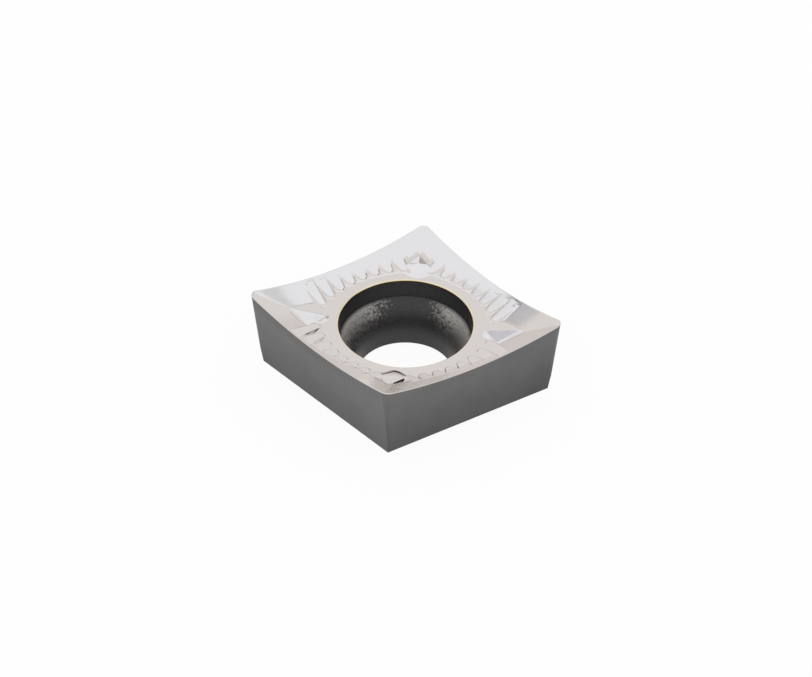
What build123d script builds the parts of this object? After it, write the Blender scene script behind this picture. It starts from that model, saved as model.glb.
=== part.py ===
from build123d import *
from math import cos, hypot, radians, sin, sqrt, tan
import os

# An indexable turning insert of cemented carbide for aluminium: an 80 degree rhombus with ground
# relief flanks, a screw hole with a curved seat, and a polished chip-breaker on its top face.
# Millimetres. The origin is on the seat face, on the axis of the screw hole. +Z points out of the
# seat, +X runs along the long diagonal to an acute corner and +Y to an obtuse one.

# Body
inscribed_circle = 9.525
thickness = 3.97
point_angle = 80.0
clearance_angle = 7.0
nose_radius = 0.4

# Cutting edges: each one sags in the plane of its flank between two noses at full thickness
edge_sag = 0.56
rake_angle = 20.8

# Flat ring round the hole
ring_height = 3.09

# Screw hole, from the seat face upwards
bore_radius = 2.2
bore_edge_break = 0.08
screw_seat_start = 0.6
well_radius = 3.1
well_depth = 0.92
well_draft = 2.5
rim_break = 0.035

# Row of teeth at the foot of each rake face, side by side and square to the cutting edge
tooth_count = 8
tooth_pitch = 0.655
tooth_row_start = -2.1
tooth_circle = 3.85
tooth_step = 0.075
tooth_end_radius = 0.13
tooth_root_gap = 0.05
tooth_root_reach = 4.13
tooth_root_lean = 0.1
tooth_flare = 40.0
tooth_depth = 0.25

# Corner pads: arrow-shaped lands on the diagonals, each with a ridge that rises to its tip
pad_flare = 38.0
pad_depth = 0.45
acute_pad_start = 3.6
acute_pad_shoulder = 4.32
acute_pad_tip = 5.3
acute_pad_half_width = 0.66
acute_pad_start_height = 3.1
acute_pad_tip_height = 3.31
acute_pad_fall = 0.13
obtuse_pad_start = 3.33
obtuse_pad_break = 3.95
obtuse_pad_shoulder = 3.92
obtuse_pad_tip = 4.62
obtuse_pad_half_width = 0.62
obtuse_pad_break_height = 3.3
obtuse_pad_tip_height = 3.46
obtuse_pad_fall = 0.16
pad_nose_half_width = 0.3

half_angle = radians(point_angle / 2)
clearance_slope = tan(radians(clearance_angle))
rake_slope = tan(radians(rake_angle))
half_circle = inscribed_circle / 2

# Along an edge, measured from the foot of the perpendicular from the hole's axis, the acute nose
# begins at acute_end and the obtuse nose at obtuse_end. The edge sags deepest halfway.
flat_reach = half_circle - nose_radius
acute_end = flat_reach / tan(half_angle)
obtuse_end = -flat_reach * tan(half_angle)
edge_middle = (acute_end + obtuse_end) / 2
edge_half = (acute_end - obtuse_end) / 2
edge_low_height = thickness - edge_sag
edge_low_reach = half_circle - edge_sag * clearance_slope
arc_radius = (edge_half**2 + edge_sag**2) / (2 * edge_sag)


def rhombus(reach):
    """The rhombus whose four sides lie at this distance from its centre."""
    long_half = reach / sin(half_angle)
    short_half = reach / cos(half_angle)
    return Polygon((long_half, 0), (0, short_half), (-long_half, 0), (0, -short_half))


def nose_waste(corner_half_angle):
    """What is ground off a sharp corner on the X axis to leave its nose: a wedge less a cone.
    The cone stands on the nose's own upright axis and touches both flanks. Its radius shrinks
    towards the seat as the flanks lean in, and where it is used up the corner stays sharp."""
    axis_place = flat_reach / sin(corner_half_angle)
    lowest = max(0.0, thickness - nose_radius / clearance_slope)
    lowest_radius = nose_radius - (thickness - lowest) * clearance_slope
    height = thickness - lowest
    wedge_length = 4 * nose_radius
    side = wedge_length * sin(corner_half_angle)
    half_spread = wedge_length * cos(corner_half_angle)
    wedge = extrude(Polygon((0, 0), (side, -half_spread), (side, half_spread), align=None), height)
    cone = Cone(lowest_radius, nose_radius, height, align=(Align.CENTER, Align.CENTER, Align.MIN))
    return Pos(axis_place, 0, lowest) * (wedge - cone)


def relief_block():
    """The body under a flat top. Its flanks lean in towards the seat, and its corners are noses."""
    upside_down = extrude(rhombus(half_circle), thickness, taper=clearance_angle)
    block = Pos(0, 0, thickness) * Rot(180, 0, 0) * upside_down
    acute_waste = nose_waste(half_angle)
    obtuse_waste = Rot(0, 0, 90) * nose_waste(radians(90) - half_angle)
    block = block - acute_waste - mirror(acute_waste, about=Plane.YZ)
    return block - obtuse_waste - mirror(obtuse_waste, about=Plane.XZ)


def round_all_edges(feature):
    """Four copies of a feature made for the edge at +X +Y, mirrored across both diagonals."""
    pair = feature + mirror(feature, about=Plane.XZ)
    return pair + mirror(pair, about=Plane.YZ)


def to_edge(feature):
    """Turns a feature from the edge's own frame, X along the edge and Y outwards, into place."""
    return Rot(0, 0, -point_angle / 2) * feature


def rake_height(along, out):
    """Height of the rake face at a place along the edge and a distance out from the centre."""
    sag_there = arc_radius - sqrt(arc_radius**2 - (along - edge_middle) ** 2)
    return edge_low_height + sag_there - rake_slope * (edge_low_reach - out)


def space_over_rake():
    """What lies above one rake face: a great cylinder resting on the edge, tilted by the rake."""
    tilt = radians(rake_angle)
    radius = arc_radius * cos(tilt)
    lowest = Vector(edge_middle, edge_low_reach, edge_low_height)
    axis_point = lowest + Vector(0, -sin(tilt), cos(tilt)) * radius
    axis = Plane(axis_point, z_dir=(0, cos(tilt), sin(tilt)))
    return to_edge(axis * Cylinder(radius, 4 * inscribed_circle))


def chip_space():
    """What is cut from the top: everything above all four rake faces and above the ring."""
    space = Pos(0, 0, ring_height) * Cylinder(
        inscribed_circle, thickness, align=(Align.CENTER, Align.CENTER, Align.MIN)
    )
    over_rake = space_over_rake()
    for cylinder in (over_rake, mirror(over_rake, about=Plane.XZ)):
        space = space & cylinder
        space = space & mirror(cylinder, about=Plane.YZ)
    return space


def screw_hole():
    """Straight bore, curved seat for the screw head, and a steep well up to the ring."""
    foot_height = ring_height - well_depth
    foot_radius = well_radius - well_depth * tan(radians(well_draft))
    spare = thickness
    outline = [
        Line((0, -spare), (bore_radius + bore_edge_break + spare, -spare)),
        Line((bore_radius + bore_edge_break + spare, -spare), (bore_radius, bore_edge_break)),
        Line((bore_radius, bore_edge_break), (bore_radius, screw_seat_start)),
        TangentArc((bore_radius, screw_seat_start), (foot_radius, foot_height), tangent=(0, 1)),
        Line((foot_radius, foot_height), (well_radius, ring_height - rim_break)),
        Line(
            (well_radius, ring_height - rim_break),
            (well_radius + rim_break + spare, ring_height + spare),
        ),
        Line((well_radius + rim_break + spare, ring_height + spare), (0, ring_height + spare)),
        Line((0, ring_height + spare), (0, -spare)),
    ]
    return revolve(Plane.XZ * make_face(outline), Axis.Z)


def tooth(along):
    """One tooth: a flat tongue that leaves the rake face and ends round and steep at the ring.
    It widens towards the edge, so the gap to the next one is a pointed notch."""
    root = tooth_root_reach + tooth_root_lean * along
    end = sqrt(tooth_circle**2 - along**2)
    end_height = ring_height + tooth_step
    rise = rake_height(along, root) - end_height
    length = hypot(root - end, rise)
    top = Plane((along, end, end_height), x_dir=(1, 0, 0), z_dir=(0, -rise, root - end))
    root_half = (tooth_pitch - tooth_root_gap) / 2
    tongue = make_hull(
        [
            *(Pos(0, tooth_end_radius) * Circle(tooth_end_radius)).edges(),
            Line((-root_half, length), (root_half, length)),
        ]
    )
    return to_edge(extrude(top * tongue, tooth_depth, dir=-top.z_dir, taper=-tooth_flare))


def pad_base(start, shoulder, tip, half_width, height):
    """Arrow-shaped outline at this height, flaring as it goes down into the body."""
    arrow = Polygon(
        (start, -pad_nose_half_width),
        (shoulder, -half_width),
        (tip, 0),
        (shoulder, half_width),
        (start, pad_nose_half_width),
        align=None,
    )
    return extrude(Pos(0, 0, height) * arrow, pad_depth, dir=(0, 0, -1), taper=-pad_flare)


def pad_roof(start, start_height, tip, tip_height, fall):
    """Space under two roof slopes that fall to the sides from a ridge rising to the tip."""
    half = half_circle
    gable = Polygon(
        (0, 0), (-half, -fall * half), (-half, -half), (half, -half), (half, -fall * half), align=None
    )
    ridge = Vector(tip - start, 0, tip_height - start_height)
    begin = Vector(start, 0, start_height) - ridge
    across = Plane(begin, x_dir=(0, 1, 0), z_dir=ridge)
    return extrude(across * gable, 4 * ridge.length)


def acute_pad():
    base = pad_base(
        acute_pad_start, acute_pad_shoulder, acute_pad_tip, acute_pad_half_width, acute_pad_tip_height
    )
    roof = pad_roof(
        acute_pad_start, acute_pad_start_height, acute_pad_tip, acute_pad_tip_height, acute_pad_fall
    )
    return base & roof


def obtuse_pad():
    """As the acute pad, with a third facet that falls from the ridge's inner end to the ring."""
    base = pad_base(
        obtuse_pad_start, obtuse_pad_shoulder, obtuse_pad_tip, obtuse_pad_half_width, obtuse_pad_tip_height
    )
    roof = pad_roof(
        obtuse_pad_break, obtuse_pad_break_height, obtuse_pad_tip, obtuse_pad_tip_height, obtuse_pad_fall
    )
    inner = pad_roof(obtuse_pad_start, ring_height, obtuse_pad_break, obtuse_pad_break_height, 0.0)
    return Rot(0, 0, 90) * (base & roof & inner)


def insert():
    """The block, less the space that the chip-breaker leaves round its teeth and pads."""
    space = chip_space()
    for index in range(tooth_count):
        space = space - round_all_edges(tooth(tooth_row_start + index * tooth_pitch))
    for pad, opposite in ((acute_pad(), Plane.YZ), (obtuse_pad(), Plane.XZ)):
        space = space - pad - mirror(pad, about=opposite)
    return relief_block() - space - screw_hole()


os.makedirs("parts", exist_ok=True)
export_step(insert(), "parts/insert.step")
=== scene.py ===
import bpy
import numpy as np
from math import acos, atan2, cos, hypot, pi, radians, sin, sqrt, tan
from mathutils import Matrix, Vector


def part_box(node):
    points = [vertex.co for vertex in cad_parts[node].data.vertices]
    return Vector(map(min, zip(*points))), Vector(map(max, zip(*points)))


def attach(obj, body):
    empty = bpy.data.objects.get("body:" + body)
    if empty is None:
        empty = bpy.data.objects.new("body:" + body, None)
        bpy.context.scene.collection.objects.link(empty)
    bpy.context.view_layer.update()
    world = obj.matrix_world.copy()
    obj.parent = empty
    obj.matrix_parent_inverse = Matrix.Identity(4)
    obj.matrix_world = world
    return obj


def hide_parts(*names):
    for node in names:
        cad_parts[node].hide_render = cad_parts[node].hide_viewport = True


# The looks of a turning insert of cemented carbide: one closed surface that stands for the
# solid, with a mirror-polished chip-breaker, fine-ground flanks and an as-sintered screw hole.
# Metres, in the frame of the solid: the origin is on the seat face, on the axis of the hole.

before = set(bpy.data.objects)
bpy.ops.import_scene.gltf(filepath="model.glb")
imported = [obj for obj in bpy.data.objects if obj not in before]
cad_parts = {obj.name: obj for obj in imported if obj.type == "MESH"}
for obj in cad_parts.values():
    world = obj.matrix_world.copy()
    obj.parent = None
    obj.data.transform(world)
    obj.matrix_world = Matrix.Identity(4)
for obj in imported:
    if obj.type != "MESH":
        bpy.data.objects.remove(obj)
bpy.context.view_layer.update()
highest_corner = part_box("insert")[1]
mm = 0.001

# Body
thickness = highest_corner.z
inscribed_circle = 9.525 * mm
point_angle = 80.0
clearance_angle = 7.0
nose_radius = 0.4 * mm

# Cutting edges: each one sags between two noses, which rise a little more to their tips
edge_sag = 0.49 * mm
nose_rise = 0.05 * mm
rake_angle = 19.5
edge_hone = 0.018 * mm

# Flat ring round the hole
ring_height = 3.09 * mm

# Screw hole, from the seat face upwards
bore_radius = 2.2 * mm
bore_edge_break = 0.08 * mm
screw_seat_start = 0.6 * mm
well_radius = 3.1 * mm
well_depth = 0.92 * mm
well_draft = 2.5
rim_round = 0.07 * mm

# Step from each rake face down to the ring, which shows in the notches between the teeth
step_reach = 3.93 * mm
step_lean = 0.135
step_start = -2.25 * mm
step_end = 2.42 * mm
step_flare = 35.0

# Row of teeth across the step, side by side and square to the cutting edge. They end on an arc.
tooth_count = 8
tooth_pitch = 0.645 * mm
tooth_row_start = -1.97 * mm
tooth_row_middle = 0.15 * mm
tooth_row_reach = 3.68 * mm
tooth_row_radius = 5.0 * mm
tooth_height = 0.07 * mm
tooth_end_radius = 0.16 * mm
tooth_root_gap = 0.05 * mm
tooth_root_past = 0.27 * mm
tooth_flare = 40.0

# Corner pads: arrow-shaped lands on the diagonals, each with a ridge that rises to its tip
pad_nose_half_width = 0.34 * mm
acute_pad_start = 3.6 * mm
acute_pad_shoulder = 4.4 * mm
acute_pad_tip = 5.47 * mm
acute_pad_half_width = 0.8 * mm
acute_pad_start_height = 3.11 * mm
acute_pad_tip_height = 3.4 * mm
acute_pad_fall = 0.12
acute_pad_flare = 25.0
obtuse_pad_start = 3.36 * mm
obtuse_pad_foot_end = 3.62 * mm
obtuse_pad_foot_height = 3.21 * mm
obtuse_pad_break = 4.0 * mm
obtuse_pad_break_height = 3.35 * mm
obtuse_pad_round = 0.3 * mm
obtuse_pad_bow = 0.75
obtuse_pad_shoulder = 3.92 * mm
obtuse_pad_tip = 4.65 * mm
obtuse_pad_tip_height = 3.405 * mm
obtuse_pad_half_width = 0.62 * mm
obtuse_pad_fall = 0.14
obtuse_pad_flare = 43.0
obtuse_pad_moat_width = 0.2 * mm
obtuse_pad_moat_depth = 0.24 * mm

# Width over which pressing and polishing have rounded the creases of the chip-breaker, and the
# valleys in which two rake faces meet
crease_softness = 0.04 * mm
valley_softness = 0.12 * mm

# Grid of the surface: columns go round the hole's axis, rows follow the section
columns = 1008
edge_passes = 12
seat_rows = 3
flank_rows = 5
hone_rows = 2
outer_rake_rows = 7
feature_rows = 58
rim_rows = 5
rim_cream_share = 0.5
well_rows = 3
screw_seat_rows = 12

# Share of the way out to the edge that the fine feature rows cover: least at the obtuse corners,
# more at the acute ones, whose pads reach far out, and most between the corners
feature_share = 0.66
feature_share_between = 0.24
feature_share_acute = 0.14
acute_narrowness = 16

# Camera, fitted to the outlines of the insert in the photograph
camera_azimuth = 7.965
camera_elevation = 40.225
camera_roll = 0.337
camera_distance = 343.9 * mm
camera_lens = 328.95
camera_sensor = 36.0
camera_nearest = 10 * mm
target_right = 0.032 * mm
target_up = 1.663 * mm

# Studio
floor_radius = 500 * mm
floor_sides = 64
floor_gap = 0.002 * mm
floor_own_white = 0.94
room_brightness = 0.9
card_columns = 17
card_rows = 9

half_angle = radians(point_angle / 2)
clearance_slope = tan(radians(clearance_angle))
rake_slope = tan(radians(rake_angle))
half_circle = inscribed_circle / 2
flat_reach = half_circle - nose_radius
acute_end = flat_reach / tan(half_angle)
obtuse_end = -flat_reach * tan(half_angle)
edge_middle = (acute_end + obtuse_end) / 2
edge_half = (acute_end - obtuse_end) / 2
edge_drop = nose_rise + edge_sag
edge_low_height = thickness - edge_drop
edge_low_reach = half_circle - edge_drop * clearance_slope
arc_radius = (edge_half**2 + edge_sag**2) / (2 * edge_sag)


def soft_max(a, b):
    """The larger of two heights, with the crease between them rounded over the softness."""
    near = np.maximum(crease_softness - np.abs(a - b), 0.0) / crease_softness
    return np.maximum(a, b) + near**2 * crease_softness / 4


def soft_min(a, b):
    """The smaller of two heights, with the ridge between them rounded over the softness."""
    return -soft_max(-a, -b)


def rake_face(along, out):
    """Height of a rake face: a cylinder that rests on the sagging edge and is tilted by the rake
    angle. Its height is the low point, plus the rake slope times the distance out, plus the sag
    of the circle, divided by the tilt's cosine."""
    tilt = radians(rake_angle)
    radius = arc_radius / cos(tilt)
    sag = radius - np.sqrt(radius**2 - (along - edge_middle) ** 2)
    return edge_low_height + rake_slope * (out - edge_low_reach) + sag / cos(tilt)


def face_over_step(along, out):
    """Height of a rake face with its step: nowhere above a wall that rises from the ring outside
    the step's outline, by the distance from that outline over the tangent of the flare."""
    past = (out - step_reach - step_lean * along) / hypot(1, step_lean)
    past = np.maximum(np.maximum(past, along - step_end), step_start - along)
    wall = ring_height + np.maximum(past, 0.0) / tan(radians(step_flare))
    return np.minimum(rake_face(along, out), wall)


def tooth_top(along, out, middle):
    """Height of one tooth: a sloping plane over a tongue, less the distance outside the tongue
    divided by the tangent of the flare. The tongue is the hull of a small circle at the ring and
    a wide root line towards the edge."""
    root = step_reach + step_lean * middle + tooth_root_past
    arc_centre = tooth_row_reach - tooth_row_radius
    end = arc_centre + sqrt(tooth_row_radius**2 - (middle - tooth_row_middle) ** 2)
    end_height = ring_height + tooth_height
    root_height = rake_face(middle, root)
    slope = (root_height - end_height) / (root - end)
    length = hypot(root - end, root_height - end_height)
    stretch = sqrt(1 + slope**2)
    beside = np.abs(along - middle)
    up = (out - end) * stretch
    root_half = (tooth_pitch - tooth_root_gap) / 2
    reach = length - tooth_end_radius
    lean = acos(tooth_end_radius / hypot(root_half, reach)) - atan2(reach, root_half)
    past = up - tooth_end_radius
    side = beside * cos(lean) - past * sin(lean) - tooth_end_radius
    end_round = np.hypot(beside, past) - tooth_end_radius
    on_side = beside * sin(lean) + past * cos(lean) > 0
    outside = np.maximum(np.where(on_side, side, end_round), up - length)
    plane = end_height + slope * (out - end)
    return plane - np.maximum(outside, 0.0) * stretch / tan(radians(tooth_flare))


def moat_depth(x, y):
    """Depth of the hollow along each outer side of an obtuse corner's pad. It is deepest against
    the pad, halfway from the tip to the shoulder, and fades out along a circle to both ends."""
    run = hypot(obtuse_pad_tip - obtuse_pad_shoulder, obtuse_pad_half_width)
    across = obtuse_pad_half_width / run
    back = (obtuse_pad_tip - obtuse_pad_shoulder) / run
    outside = x * back + (y - obtuse_pad_tip) * across
    share = (x * across - (y - obtuse_pad_tip) * back) / run
    near = np.clip(1 - np.maximum(outside, 0.0) / obtuse_pad_moat_width, 0.0, 1.0)
    return obtuse_pad_moat_depth * near * 2 * np.sqrt(np.maximum(share * (1 - share), 0.0))


def slope_along(x, start, start_height, end, end_height):
    """Height of a plane that rises along x through two given places."""
    return start_height + (x - start) * (end_height - start_height) / (end - start)


def pad_top(x, y, start, shoulder, tip, half_width, ridge, fall, flare):
    """Height of a corner pad that points along x: a ridge that falls to both sides, less the
    distance outside an arrow-shaped outline divided by the tangent of the flare."""
    beside = np.abs(y)
    back = hypot(shoulder - start, half_width - pad_nose_half_width)
    front = hypot(tip - shoulder, half_width)
    back_side = (
        (beside - pad_nose_half_width) * (shoulder - start)
        - (x - start) * (half_width - pad_nose_half_width)
    ) / back
    front_side = ((beside - half_width) * (tip - shoulder) + (x - shoulder) * half_width) / front
    outside = np.maximum(np.maximum(start - x, back_side), front_side)
    return ridge - fall * beside - np.maximum(outside, 0.0) / tan(radians(flare))


def edge_frame(x, y):
    """Place along the edge at +x +y, and distance out from the hole's axis."""
    return x * cos(half_angle) - y * sin(half_angle), x * sin(half_angle) + y * cos(half_angle)


def chip_breaker(x, y):
    """Height of the top face: the largest of the ring, the stepped rake face, the teeth and the
    pads, the same in all four quarters, and nowhere above the full thickness. The valley between
    two rake faces is rounded, as the distance from a diagonal is taken as the root of its square
    plus the square of the softness. A pad on the short diagonal also stays under two planes that
    climb out from the ring, a foot and a ramp, and both bow back beside the diagonal."""
    along, out = edge_frame(np.hypot(x, valley_softness), np.hypot(y, valley_softness))
    x = np.abs(x)
    y = np.abs(y)
    face = face_over_step(along, out) - moat_depth(x, y)
    along, out = edge_frame(x, y)
    top = soft_max(face, np.full_like(x, ring_height))
    for index in range(tooth_count):
        top = soft_max(top, tooth_top(along, out, tooth_row_start + index * tooth_pitch))
    acute = pad_top(
        x, y, acute_pad_start, acute_pad_shoulder, acute_pad_tip, acute_pad_half_width,
        slope_along(
            x, acute_pad_start, acute_pad_start_height, acute_pad_tip, acute_pad_tip_height
        ),
        acute_pad_fall, acute_pad_flare,
    )
    obtuse = pad_top(
        y, x, obtuse_pad_start, obtuse_pad_shoulder, obtuse_pad_tip, obtuse_pad_half_width,
        slope_along(
            y, obtuse_pad_break, obtuse_pad_break_height, obtuse_pad_tip, obtuse_pad_tip_height
        ),
        obtuse_pad_fall, obtuse_pad_flare,
    )
    inward = y - obtuse_pad_bow * (np.hypot(x, obtuse_pad_round) - obtuse_pad_round)
    foot = slope_along(
        inward, obtuse_pad_start, ring_height, obtuse_pad_foot_end, obtuse_pad_foot_height
    )
    ramp = slope_along(
        inward, obtuse_pad_foot_end, obtuse_pad_foot_height,
        obtuse_pad_break, obtuse_pad_break_height,
    )
    obtuse = np.minimum(soft_min(obtuse, ramp), foot)
    top = soft_max(soft_max(top, acute), obtuse)
    return np.minimum(top, thickness)


def outline_radius(angle, height):
    """Distance from the axis to the flank at an angle and a height. Straight stretches lean in by
    the clearance. At a corner it is the far hit of the ray with the nose's circle, whose radius
    shrinks towards the seat until the corner is sharp."""
    c = np.abs(np.cos(angle))
    s = np.abs(np.sin(angle))
    drop = (thickness - height) * clearance_slope
    radius = (half_circle - drop) / (c * sin(half_angle) + s * cos(half_angle))
    along = radius * (c * cos(half_angle) - s * sin(half_angle))
    nose = np.maximum(nose_radius - drop, 0.0)
    for away, toward, place, beyond in (
        (s, c, flat_reach / sin(half_angle), along > acute_end),
        (c, s, flat_reach / cos(half_angle), along < obtuse_end),
    ):
        inside = nose**2 - (place * away) ** 2
        hit = place * toward + np.sqrt(np.maximum(inside, 0.0))
        radius = np.where(beyond & (nose > 0) & (inside > 0), hit, radius)
    return radius


# Finishes of the bands, in the order of the list of materials
SEAT, FLANK, EDGE, CHIP_BREAKER, RIM, RIM_INSIDE, HOLE = range(7)


def section_rows():
    """The whole surface as rows of points. Each row is a radius and a height at every angle, and
    the rows follow the section: out over the seat face, up the flank, round the honed edge, in
    over the chip-breaker, over the rim, down the well, round the screw seat and down the bore.
    Each row comes with the finish of the band that starts at it."""
    angle = np.arange(columns) * 2 * pi / columns
    flat = np.zeros(columns)
    edge_height = flat + thickness
    for _ in range(edge_passes):
        edge_radius = outline_radius(angle, edge_height)
        edge_height = chip_breaker(edge_radius * np.cos(angle), edge_radius * np.sin(angle))
    rows = []

    def add(radius, height, finish):
        rows.append((radius + flat, height + flat, finish))

    bore_rim = bore_radius + bore_edge_break
    foot = outline_radius(angle, flat)
    for t in np.linspace(0, 1, seat_rows, endpoint=False):
        add(bore_rim + (foot - bore_rim) * t, 0.0, SEAT)
    for t in np.linspace(0, 1, flank_rows, endpoint=False):
        height = (edge_height - edge_hone) * t
        add(outline_radius(angle, height), height, FLANK)
    for t in np.linspace(0, 1, hone_rows + 1):
        turn = t * pi / 2
        radius = outline_radius(angle, edge_height - edge_hone) - edge_hone * (1 - cos(turn))
        inner = chip_breaker(radius * np.cos(angle), radius * np.sin(angle))
        height = np.minimum(edge_height - edge_hone * (1 - sin(turn)), inner)
        add(radius, height, EDGE if t < 1 else CHIP_BREAKER)
    outer = rows[-1][0]
    inner_start = well_radius + rim_round
    between = np.sqrt(np.abs(np.sin(2 * angle)))
    acute = np.cos(angle) ** acute_narrowness
    share = feature_share + feature_share_between * between + feature_share_acute * acute
    zone = inner_start + (outer - inner_start) * share
    for t in np.linspace(0, 1, outer_rake_rows, endpoint=False)[1:]:
        radius = outer + (zone - outer) * t
        add(radius, chip_breaker(radius * np.cos(angle), radius * np.sin(angle)), CHIP_BREAKER)
    for t in np.linspace(0, 1, feature_rows)[:-1]:
        radius = zone + (inner_start - zone) * t
        add(radius, chip_breaker(radius * np.cos(angle), radius * np.sin(angle)), CHIP_BREAKER)
    for t in np.linspace(0, 1, rim_rows, endpoint=False):
        turn = t * pi / 2
        add(
            inner_start - rim_round * sin(turn),
            ring_height - rim_round * (1 - cos(turn)),
            RIM if t < rim_cream_share else RIM_INSIDE,
        )
    foot_height = ring_height - well_depth
    foot_radius = well_radius - well_depth * tan(radians(well_draft))
    for t in np.linspace(0, 1, well_rows, endpoint=False):
        height = ring_height - rim_round + (foot_height - ring_height + rim_round) * t
        add(well_radius + (foot_radius - well_radius) * t, height, HOLE)
    rise = foot_height - screw_seat_start
    run = foot_radius - bore_radius
    seat_radius = (run**2 + rise**2) / (2 * run)
    full_turn = atan2(rise, seat_radius - run)
    for t in np.linspace(1, 0, screw_seat_rows):
        turn = full_turn * t
        add(
            bore_radius + seat_radius * (1 - cos(turn)),
            screw_seat_start + seat_radius * sin(turn),
            HOLE,
        )
    add(bore_radius, bore_edge_break, HOLE)
    return angle, rows


def insert_surface(materials):
    """One closed surface. Rows and columns of points are joined into quads, the last row to the
    first and the last column to the first, so that it closes on itself like a ring."""
    angle, rows = section_rows()
    radius = np.array([row[0] for row in rows])
    height = np.array([row[1] for row in rows])
    points = np.stack([radius * np.cos(angle), radius * np.sin(angle), height], axis=2)
    count = len(rows)
    here = np.arange(count)[:, None] * columns + np.arange(columns)[None, :]
    beside = np.roll(here, -1, axis=1)
    quads = np.stack(
        [here, beside, np.roll(beside, -1, axis=0), np.roll(here, -1, axis=0)], axis=2
    ).reshape(-1, 4)
    mesh = bpy.data.meshes.new("insert_surface")
    mesh.from_pydata(points.reshape(-1, 3), [], quads)
    mesh.polygons.foreach_set("material_index", np.repeat([row[2] for row in rows], columns))
    mesh.polygons.foreach_set("use_smooth", np.ones(len(quads), bool))
    for material in materials:
        mesh.materials.append(material)
    mesh.update()
    keep_creases(mesh, [row[2] for row in rows])
    piece = bpy.data.objects.new("carbide_insert", mesh)
    bpy.context.scene.collection.objects.link(piece)
    return piece


def keep_creases(mesh, finishes):
    """Edges of the ground faces and of the hole stay crisp where their faces turn by more than 20
    degrees. On the chip-breaker all creases are rounded, so none is kept crisp there."""
    mesh.set_sharp_from_angle(angle=radians(20))
    sharp = np.zeros(len(mesh.edges), bool)
    mesh.attributes["sharp_edge"].data.foreach_get("value", sharp)
    ends = np.zeros(len(mesh.edges) * 2, int)
    mesh.edges.foreach_get("vertices", ends)
    band = np.array(finishes)[ends.reshape(-1, 2) // columns]
    rounded = np.isin(band, (EDGE, CHIP_BREAKER)).all(axis=1)
    mesh.attributes["sharp_edge"].data.foreach_set("value", sharp & ~rounded)


def linear(code):
    """An sRGB hex colour as linear red, green, blue and alpha."""
    parts = [int(code[i : i + 2], 16) / 255 for i in (1, 3, 5)]
    return tuple(p / 12.92 if p <= 0.04045 else ((p + 0.055) / 1.055) ** 2.4 for p in parts) + (1,)


def add_node(tree, kind, inputs=None, **settings):
    """Adds one node with its settings. An input is a value or the output that is linked to it."""
    node = tree.nodes.new(kind)
    for name, value in settings.items():
        setattr(node, name, value)
    for name, value in (inputs or {}).items():
        if isinstance(value, bpy.types.NodeSocket):
            tree.links.new(value, node.inputs[name])
        else:
            node.inputs[name].default_value = value
    return node


def new_material(name):
    """An empty material and its node tree."""
    material = bpy.data.materials.new(name)
    material.use_nodes = True
    tree = material.node_tree
    tree.nodes.clear()
    return material, tree


def polished_carbide():
    """Cemented carbide with the chip-breaker ground and lapped to a mirror. The eye sees what
    surrounds it, in a warm grey, with a faint swim from the lapping."""
    material, tree = new_material("lapped_cemented_carbide")
    place = add_node(tree, "ShaderNodeTexCoord").outputs["Object"]
    swim = add_node(
        tree, "ShaderNodeTexNoise", {"Vector": place, "Scale": 1 / (0.9 * mm), "Detail": 2.0}
    )
    bump = add_node(
        tree,
        "ShaderNodeBump",
        {"Height": swim.outputs["Fac"], "Distance": 0.0016 * mm, "Strength": 1.0},
    )
    haze = add_node(
        tree, "ShaderNodeTexNoise", {"Vector": place, "Scale": 1 / (0.25 * mm), "Detail": 3.0}
    )
    rough = add_node(
        tree,
        "ShaderNodeMapRange",
        {
            "Value": haze.outputs["Fac"],
            "From Min": 0.3,
            "From Max": 0.7,
            "To Min": 0.07,
            "To Max": 0.13,
        },
    )
    shader = add_node(
        tree,
        "ShaderNodeBsdfPrincipled",
        {
            "Base Color": linear("#D6D0CD"),
            "Metallic": 1.0,
            "Roughness": rough.outputs["Result"],
            "Normal": bump.outputs["Normal"],
        },
    )
    add_node(tree, "ShaderNodeOutputMaterial", {"Surface": shader.outputs["BSDF"]})
    return material


def ground_carbide():
    """Cemented carbide ground with a fine diamond wheel on the flanks. The eye sees a dark satin
    grey with lines along the cutting edge. Its colour turns darker towards the seat, mottled:
    painted shade for the shadowed floor that the flanks reflect near the seat. The real lines
    are some 5 micrometres apart, too fine to show here, so they are drawn 60 micrometres apart."""
    material, tree = new_material("ground_cemented_carbide")
    place = add_node(tree, "ShaderNodeTexCoord").outputs["Object"]
    squeezed = add_node(
        tree, "ShaderNodeMapping", {"Vector": place, "Scale": (0.02, 0.02, 1.0)}
    )
    lines = add_node(
        tree,
        "ShaderNodeTexNoise",
        {"Vector": squeezed.outputs["Vector"], "Scale": 1 / (0.06 * mm), "Detail": 2.0},
    )
    mottle = add_node(
        tree, "ShaderNodeTexNoise", {"Vector": place, "Scale": 1 / (1.2 * mm), "Detail": 3.0}
    )
    # Painted shade: the flank colour darkens towards the seat, with a mottled edge
    axes = add_node(tree, "ShaderNodeSeparateXYZ", {"Vector": place})
    height = add_node(
        tree,
        "ShaderNodeMath",
        {0: mottle.outputs["Fac"], 1: 1.6 * mm, 2: axes.outputs["Z"]},
        operation="MULTIPLY_ADD",
    )
    painted_shade = add_node(
        tree,
        "ShaderNodeMapRange",
        {"Value": height.outputs[0], "From Min": 0.4 * mm, "From Max": 4.4 * mm},
    )
    colour = add_node(
        tree,
        "ShaderNodeMix",
        {0: painted_shade.outputs["Result"], 6: linear("#4E4E4F"), 7: linear("#6E6E6E")},
        data_type="RGBA",
    )
    bump = add_node(
        tree,
        "ShaderNodeBump",
        {"Height": lines.outputs["Fac"], "Distance": 0.002 * mm, "Strength": 1.0},
    )
    shader = add_node(
        tree,
        "ShaderNodeBsdfPrincipled",
        {
            "Base Color": colour.outputs[2],
            "Metallic": 1.0,
            "Roughness": 0.38,
            "Normal": bump.outputs["Normal"],
        },
    )
    add_node(tree, "ShaderNodeOutputMaterial", {"Surface": shader.outputs["BSDF"]})
    return material


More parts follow.
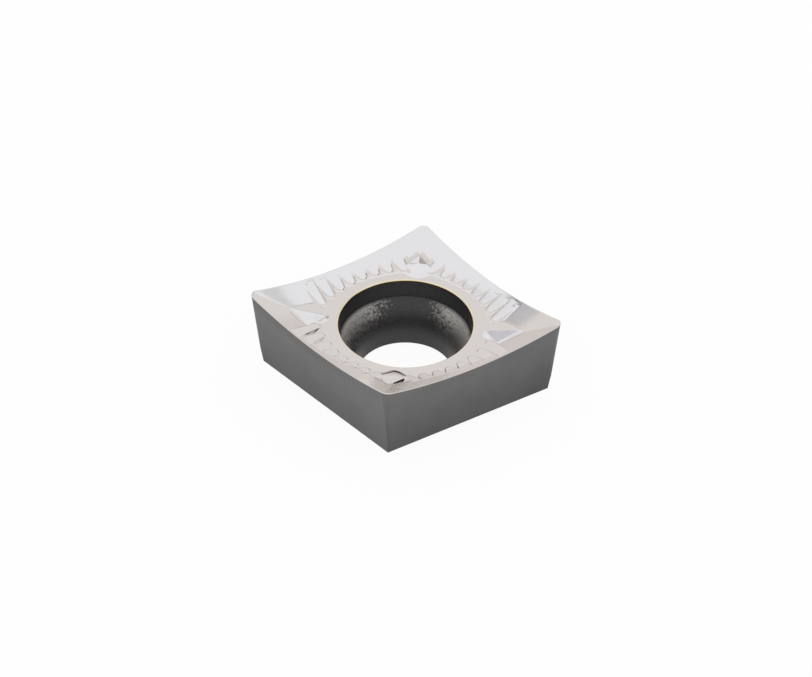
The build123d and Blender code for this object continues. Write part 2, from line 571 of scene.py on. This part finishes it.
def honed_carbide():
    """The cutting edge, honed to a hair-thin round. The eye sees a thin light line."""
    material, tree = new_material("honed_cemented_carbide")
    place = add_node(tree, "ShaderNodeTexCoord").outputs["Object"]
    nicks = add_node(
        tree, "ShaderNodeTexNoise", {"Vector": place, "Scale": 1 / (0.1 * mm), "Detail": 2.0}
    )
    rough = add_node(
        tree,
        "ShaderNodeMapRange",
        {
            "Value": nicks.outputs["Fac"],
            "From Min": 0.3,
            "From Max": 0.7,
            "To Min": 0.15,
            "To Max": 0.35,
        },
    )
    shader = add_node(
        tree,
        "ShaderNodeBsdfPrincipled",
        {"Base Color": linear("#C9C6C4"), "Metallic": 1.0, "Roughness": rough.outputs["Result"]},
    )
    add_node(tree, "ShaderNodeOutputMaterial", {"Surface": shader.outputs["BSDF"]})
    return material


def rim_carbide(name, darker, lighter, roughness):
    """The rounded rim of the screw hole, tinted by a thin oxide film from the polishing heat. The
    eye sees a thin cream line on its polished shoulder and a golden brown one below it."""
    material, tree = new_material(name)
    place = add_node(tree, "ShaderNodeTexCoord").outputs["Object"]
    film = add_node(
        tree, "ShaderNodeTexNoise", {"Vector": place, "Scale": 1 / (0.8 * mm), "Detail": 2.0}
    )
    colour = add_node(
        tree,
        "ShaderNodeMix",
        {0: film.outputs["Fac"], 6: linear(darker), 7: linear(lighter)},
        data_type="RGBA",
    )
    shader = add_node(
        tree,
        "ShaderNodeBsdfPrincipled",
        {"Base Color": colour.outputs[2], "Metallic": 1.0, "Roughness": roughness},
    )
    add_node(tree, "ShaderNodeOutputMaterial", {"Surface": shader.outputs["BSDF"]})
    return material


def sintered_carbide():
    """Cemented carbide as it leaves the sintering furnace, in the screw hole. The eye sees a
    nearly black rough metal with a sparkle of lighter grains, and a paler painted sheen on the
    upper seat at both sides, which stands in for light from the sides. The real grains are a few
    micrometres, too fine to show here, so they are drawn 50 micrometres wide. The painted sheen
    lies where the distance to the side, with a lean towards +Y and a ragged edge from the
    flecks, passes its inner limit."""
    material, tree = new_material("sintered_cemented_carbide")
    place = add_node(tree, "ShaderNodeTexCoord").outputs["Object"]
    grains = add_node(
        tree, "ShaderNodeTexNoise", {"Vector": place, "Scale": 1 / (0.05 * mm), "Detail": 3.0}
    )
    colour = add_node(
        tree,
        "ShaderNodeMix",
        {0: grains.outputs["Fac"], 6: linear("#2C2C2F"), 7: linear("#5E5C5B")},
        data_type="RGBA",
    )
    axes = add_node(tree, "ShaderNodeSeparateXYZ", {"Vector": place})
    shifted = add_node(
        tree, "ShaderNodeMath", {0: axes.outputs["X"], 1: 0.15 * mm}, operation="ADD"
    )
    beside = add_node(tree, "ShaderNodeMath", {0: shifted.outputs[0]}, operation="ABSOLUTE")
    sideways = add_node(
        tree,
        "ShaderNodeMath",
        {0: axes.outputs["Y"], 1: 0.3, 2: beside.outputs[0]},
        operation="MULTIPLY_ADD",
    )
    flecks = add_node(
        tree, "ShaderNodeTexNoise", {"Vector": place, "Scale": 1 / (0.14 * mm), "Detail": 4.0}
    )
    ragged = add_node(
        tree,
        "ShaderNodeMath",
        {0: flecks.outputs["Fac"], 1: 2.4 * mm, 2: sideways.outputs[0]},
        operation="MULTIPLY_ADD",
    )
    side = add_node(
        tree,
        "ShaderNodeMapRange",
        {"Value": ragged.outputs[0], "From Min": 2.95 * mm, "From Max": 3.85 * mm},
        interpolation_type="SMOOTHSTEP",
    )
    up = add_node(
        tree,
        "ShaderNodeMapRange",
        {"Value": axes.outputs["Z"], "From Min": 0.9 * mm, "From Max": 1.9 * mm},
        interpolation_type="SMOOTHSTEP",
    )
    below_well = add_node(
        tree,
        "ShaderNodeMapRange",
        {"Value": axes.outputs["Z"], "From Min": 2.16 * mm, "From Max": 2.08 * mm},
    )
    # Painted sheen: a paler colour on the upper screw seat at both sides, for light from the sides,
    # speckled by the grains
    painted_sheen = add_node(
        tree, "ShaderNodeMath", {0: side.outputs["Result"], 1: up.outputs["Result"]},
        operation="MULTIPLY",
    )
    painted_sheen = add_node(
        tree, "ShaderNodeMath", {0: painted_sheen.outputs[0], 1: below_well.outputs["Result"]},
        operation="MULTIPLY",
    )
    sparkle = add_node(
        tree,
        "ShaderNodeMapRange",
        {"Value": grains.outputs["Fac"], "From Min": 0.35, "From Max": 0.6, "To Min": 0.45},
    )
    painted_sheen = add_node(
        tree, "ShaderNodeMath", {0: painted_sheen.outputs[0], 1: sparkle.outputs["Result"]},
        operation="MULTIPLY",
    )
    # Mixes the pale colour of the painted sheen into the grains
    colour = add_node(
        tree,
        "ShaderNodeMix",
        {0: painted_sheen.outputs[0], 6: colour.outputs[2], 7: linear("#B0ACA7")},
        data_type="RGBA",
    )
    bump = add_node(
        tree,
        "ShaderNodeBump",
        {"Height": grains.outputs["Fac"], "Distance": 0.006 * mm, "Strength": 1.0},
    )
    shader = add_node(
        tree,
        "ShaderNodeBsdfPrincipled",
        {
            "Base Color": colour.outputs[2],
            "Metallic": 1.0,
            "Roughness": 0.5,
            "Normal": bump.outputs["Normal"],
        },
    )
    add_node(tree, "ShaderNodeOutputMaterial", {"Surface": shader.outputs["BSDF"]})
    return material


def seen_in_view_or_shine(tree):
    """1 for rays of the camera, of a reflection or through glass, and 0 for all others."""
    path = add_node(tree, "ShaderNodeLightPath")
    either = add_node(
        tree,
        "ShaderNodeMath",
        {0: path.outputs["Is Camera Ray"], 1: path.outputs["Is Glossy Ray"]},
        operation="MAXIMUM",
    )
    return add_node(
        tree,
        "ShaderNodeMath",
        {0: either.outputs[0], 1: path.outputs["Is Transmission Ray"]},
        operation="MAXIMUM",
    ).outputs[0]


def add_floor():
    """A white floor just under the insert: a flat disc with many sides. Most of what the camera
    sees of it is its own even white, and the rest is lit, so the insert's soft shadow stays."""
    turn = np.linspace(0, 2 * pi, floor_sides, endpoint=False)
    level = np.full(floor_sides, -floor_gap)
    points = np.stack([floor_radius * np.cos(turn), floor_radius * np.sin(turn), level], axis=1)
    mesh = bpy.data.meshes.new("floor")
    mesh.from_pydata(points, [], [list(range(floor_sides))])
    floor = bpy.data.objects.new("floor", mesh)
    bpy.context.scene.collection.objects.link(floor)
    material, tree = new_material("white_floor")
    lit = add_node(tree, "ShaderNodeBsdfDiffuse", {"Color": linear("#F4F4F4")})
    glow = add_node(tree, "ShaderNodeEmission", {"Color": (1, 1, 1, 1), "Strength": 1.0})
    share = add_node(
        tree,
        "ShaderNodeMath",
        {0: seen_in_view_or_shine(tree), 1: floor_own_white},
        operation="MULTIPLY",
    )
    mixed = add_node(
        tree, "ShaderNodeMixShader", {0: share.outputs[0], 1: lit.outputs[0], 2: glow.outputs[0]}
    )
    add_node(tree, "ShaderNodeOutputMaterial", {"Surface": mixed.outputs[0]})
    mesh.materials.append(material)


def add_surroundings():
    """A white room. It is full white in the view and in reflections, and a little less as light."""
    world = bpy.data.worlds.new("white_room")
    bpy.context.scene.world = world
    world.use_nodes = True
    tree = world.node_tree
    tree.nodes.clear()
    room = add_node(
        tree, "ShaderNodeBackground", {"Color": (1, 1, 1, 1), "Strength": room_brightness}
    )
    white = add_node(tree, "ShaderNodeBackground", {"Color": (1, 1, 1, 1), "Strength": 1.0})
    mixed = add_node(
        tree,
        "ShaderNodeMixShader",
        {0: seen_in_view_or_shine(tree), 1: room.outputs[0], 2: white.outputs[0]},
    )
    add_node(tree, "ShaderNodeOutputWorld", {"Surface": mixed.outputs[0]})


def add_panel(name, azimuth, elevation, half_wide, half_high, distance, colour):
    """A card that only shows in reflections: a patch of a sphere round the insert, of a plain
    colour, given by the direction of its middle and by its half angles."""
    a, e = np.meshgrid(
        np.radians(np.linspace(azimuth - half_wide, azimuth + half_wide, card_columns)),
        np.radians(np.linspace(elevation - half_high, elevation + half_high, card_rows)),
    )
    points = distance * np.stack([np.sin(a) * np.cos(e), -np.cos(a) * np.cos(e), np.sin(e)], axis=2)
    here = np.arange(card_rows - 1)[:, None] * card_columns + np.arange(card_columns - 1)[None, :]
    here = here.reshape(-1)
    above = here + card_columns
    mesh = bpy.data.meshes.new(name)
    quads = np.stack([here, here + 1, above + 1, above], axis=1)
    mesh.from_pydata(points.reshape(-1, 3), [], quads)
    card = bpy.data.objects.new(name, mesh)
    bpy.context.scene.collection.objects.link(card)
    material, tree = new_material(name)
    glow = add_node(tree, "ShaderNodeEmission", {"Color": linear(colour), "Strength": 1.0})
    add_node(tree, "ShaderNodeOutputMaterial", {"Surface": glow.outputs[0]})
    mesh.materials.append(material)
    card.visible_camera = False
    card.visible_diffuse = False
    card.visible_shadow = False


def add_lamp(name, azimuth, elevation, distance, width, height, brightness, colour):
    """A soft rectangular lamp that faces the insert. Its power is its brightness times its area
    times pi, so that a reflection of it shows that brightness."""
    a = radians(azimuth)
    e = radians(elevation)
    toward = Vector((sin(a) * cos(e), -cos(a) * cos(e), sin(e)))
    lamp = bpy.data.lights.new(name, "AREA")
    lamp.shape = "RECTANGLE"
    lamp.size = width
    lamp.size_y = height
    lamp.energy = brightness * pi * width * height
    lamp.color = linear(colour)[:3]
    holder = bpy.data.objects.new(name, lamp)
    bpy.context.scene.collection.objects.link(holder)
    holder.location = toward * distance
    holder.rotation_euler = toward.to_track_quat("Z", "Y").to_euler()


def add_camera():
    """The camera looks at a point close to the axis of the hole, from the photograph's side."""
    azimuth = radians(camera_azimuth)
    elevation = radians(camera_elevation)
    back = Vector(
        (sin(azimuth) * cos(elevation), -cos(azimuth) * cos(elevation), sin(elevation))
    )
    right = Vector((cos(azimuth), sin(azimuth), 0))
    up = back.cross(right)
    roll = radians(camera_roll)
    right, up = right * cos(roll) + up * sin(roll), up * cos(roll) - right * sin(roll)
    data = bpy.data.cameras.new("camera")
    data.lens = camera_lens
    data.sensor_width = camera_sensor
    data.clip_start = camera_nearest
    camera = bpy.data.objects.new("camera", data)
    place = right * target_right + up * target_up + back * camera_distance
    turned = Matrix((right, up, back)).transposed().to_4x4()
    camera.matrix_world = Matrix.Translation(place) @ turned
    bpy.context.scene.collection.objects.link(camera)
    bpy.context.scene.camera = camera


ground = ground_carbide()
finishes = [
    ground,
    ground,
    honed_carbide(),
    polished_carbide(),
    rim_carbide("cream_tinted_carbide", "#D8C69C", "#EBDDBE", 0.15),
    rim_carbide("brown_tinted_carbide", "#42331A", "#705A30", 0.3),
    sintered_carbide(),
]
insert = insert_surface(finishes)
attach(insert, "root")
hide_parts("insert")

add_floor()
add_surroundings()
add_lamp("overhead_lamp", 178.5, 68, 0.6, 0.66, 0.5, 0.27, "#B8DFFF")

# Cards that stand for what the polished faces reflect in the photograph. The dark one is the
# black edge of the near pad, and the others are the lighter and darker patches of the faces.
# Degrees for direction and half sizes, metres for distance.
for card in (
    ("dark_card", 101, 27.5, 11, 9, 0.3, "#1C1A1C"),
    ("low_card", 188, 11, 50, 8, 0.35, "#F0EEEC"),
    ("grey_card", 222, 48.0, 4, 1.8, 0.3, "#747A84"),
    ("pale_card", 222, 43.8, 5, 2.8, 0.3, "#DCE0E6"),
    ("blue_card", 148.5, 48.5, 5, 2.6, 0.3, "#F0F5FA"),
    ("left_card", 170, 47.5, 8, 4.5, 0.3, "#C3C3C4"),
    ("right_card", 209.5, 49, 4, 3.5, 0.3, "#DCE0EA"),
):
    add_panel(*card)
add_camera()

bpy.context.scene.view_settings.view_transform = "Standard"
